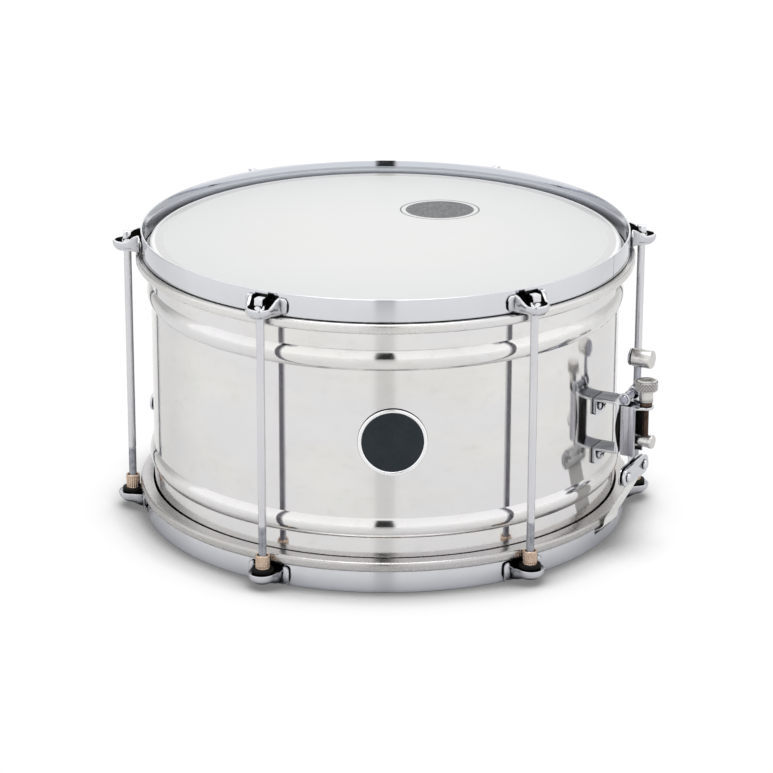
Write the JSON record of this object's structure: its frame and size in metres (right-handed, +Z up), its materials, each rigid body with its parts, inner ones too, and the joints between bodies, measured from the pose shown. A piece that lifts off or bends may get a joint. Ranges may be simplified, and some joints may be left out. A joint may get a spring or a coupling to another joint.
{
  "type": "caixa snare drum",
  "caption": "Marching caixa: beaded aluminium shell, flat chromed hoops on long rods, white heads, snare wires and a throw-off.",
  "frame": {"origin": "on the drum's axis at the bottom hoop's lower edge, where the drum stands", "axes": "+Z up along the drum's axis towards the batter head, -Y towards the badge, +X to the right of the badge"},
  "size_m": [0.3512, 0.3218, 0.19],
  "materials": {
    "shell_aluminium": "polished, spun",
    "ring_aluminium": "satin",
    "hoop_chrome": "polished plate",
    "ear_chrome": "polished plate",
    "head_film": "satin white film",
    "rod_steel": "bright zinc plate",
    "nut_bronze": "ribbed, dull",
    "washer_black": "matt",
    "badge_enamel": "gloss with a bright rim",
    "strainer_chrome": "polished plate",
    "nickel": "polished, knurled where held",
    "screw_brown": "browned thread",
    "snare_strap": "white film",
    "snare_wire": "bright wire"
  },
  "bodies": {
    "drum": {"shell": "shell_aluminium", "top_head_ring": "ring_aluminium", "bottom_head_ring": "ring_aluminium", "batter_head": "head_film", "snare_head": "head_film", "top_hoop": "hoop_chrome", "bottom_hoop": "hoop_chrome", "top_ear_1": "ear_chrome", "bottom_ear_1": "ear_chrome", "tension_nut_1": "nut_bronze", "nut_washer_1": "washer_black", "top_ear_2": "ear_chrome", "bottom_ear_2": "ear_chrome", "tension_nut_2": "nut_bronze", "nut_washer_2": "washer_black", "top_ear_3": "ear_chrome", "bottom_ear_3": "ear_chrome", "tension_nut_3": "nut_bronze", "nut_washer_3": "washer_black", "top_ear_4": "ear_chrome", "bottom_ear_4": "ear_chrome", "tension_nut_4": "nut_bronze", "nut_washer_4": "washer_black", "top_ear_5": "ear_chrome", "bottom_ear_5": "ear_chrome", "tension_nut_5": "nut_bronze", "nut_washer_5": "washer_black", "top_ear_6": "ear_chrome", "bottom_ear_6": "ear_chrome", "tension_nut_6": "nut_bronze", "nut_washer_6": "washer_black", "badge": "badge_enamel", "strainer_base": "strainer_chrome", "strainer_screw_upper": "nickel", "strainer_screw_lower": "nickel", "butt_screw": "nickel", "strainer_strap": "snare_strap", "butt_strap": "snare_strap", "butt_bracket": "strainer_chrome", "butt_clamp_plate": "strainer_chrome", "butt_clamp_screw_1": "strainer_chrome", "butt_clamp_screw_2": "strainer_chrome"},
    "rod_1": {"tension_rod_1": "rod_steel"},
    "rod_2": {"tension_rod_2": "rod_steel"},
    "rod_3": {"tension_rod_3": "rod_steel"},
    "rod_4": {"tension_rod_4": "rod_steel"},
    "rod_5": {"tension_rod_5": "rod_steel"},
    "rod_6": {"tension_rod_6": "rod_steel"},
    "lever": {"throw_lever": "strainer_chrome", "lever_handle": "nickel", "lever_pin": "strainer_chrome"},
    "slide": {"slide_bracket": "strainer_chrome"},
    "screw": {"tension_screw": "screw_brown", "tension_knob": "nickel"},
    "carriage": {"snare_carriage": "strainer_chrome", "barrel_nut": "nickel", "strainer_clamp_plate": "strainer_chrome", "strainer_clamp_screw_1": "strainer_chrome", "strainer_clamp_screw_2": "strainer_chrome"},
    "snares": {"snare_wires": "snare_wire"}
  },
  "joints": [
    {"name": "rod_1_turn", "type": "hinge", "parent": "drum", "child": "rod_1", "pos_m": [0.083, -0.14376, 0.18], "axis": [0, 0, 1], "continuous": true},
    {"name": "rod_2_turn", "type": "hinge", "parent": "drum", "child": "rod_2", "pos_m": [0.166, 0, 0.18], "axis": [0, 0, 1], "continuous": true},
    {"name": "rod_3_turn", "type": "hinge", "parent": "drum", "child": "rod_3", "pos_m": [0.083, 0.14376, 0.18], "axis": [0, 0, 1], "continuous": true},
    {"name": "rod_4_turn", "type": "hinge", "parent": "drum", "child": "rod_4", "pos_m": [-0.083, 0.14376, 0.18], "axis": [0, 0, 1], "continuous": true},
    {"name": "rod_5_turn", "type": "hinge", "parent": "drum", "child": "rod_5", "pos_m": [-0.166, 0, 0.18], "axis": [0, 0, 1], "continuous": true},
    {"name": "rod_6_turn", "type": "hinge", "parent": "drum", "child": "rod_6", "pos_m": [-0.083, -0.14376, 0.18], "axis": [0, 0, 1], "continuous": true},
    {"name": "throw_off", "type": "hinge", "parent": "drum", "child": "lever", "pos_m": [0.14939, -0.08625, 0.1015], "axis": [0.5, 0.866, 0], "range_deg": [0, 100]},
    {"name": "bracket_drop", "type": "slide", "parent": "drum", "child": "slide", "axis": [0, 0, 1], "range_m": [-0.006, 0], "deforming": ["strainer_strap"]},
    {"name": "snare_drop", "type": "slide", "parent": "drum", "child": "snares", "axis": [0, 0, 1], "range_m": [-0.0015, 0]},
    {"name": "tension_turn", "type": "hinge", "parent": "slide", "child": "screw", "pos_m": [0.15961, -0.09215, 0.09], "axis": [0, 0, 1], "range_deg": [-720, 720]},
    {"name": "clamp_travel", "type": "slide", "parent": "slide", "child": "carriage", "axis": [0, 0, 1], "range_m": [-0.0014, 0.0014]}
  ],
  "couplings": [
    {"joint": "throw_off", "follows": "bracket_drop", "rad_per_m": -290.88},
    {"joint": "snare_drop", "follows": "bracket_drop", "ratio": 0.25},
    {"joint": "tension_turn", "follows": "clamp_travel", "rad_per_m": -8970}
  ]
}
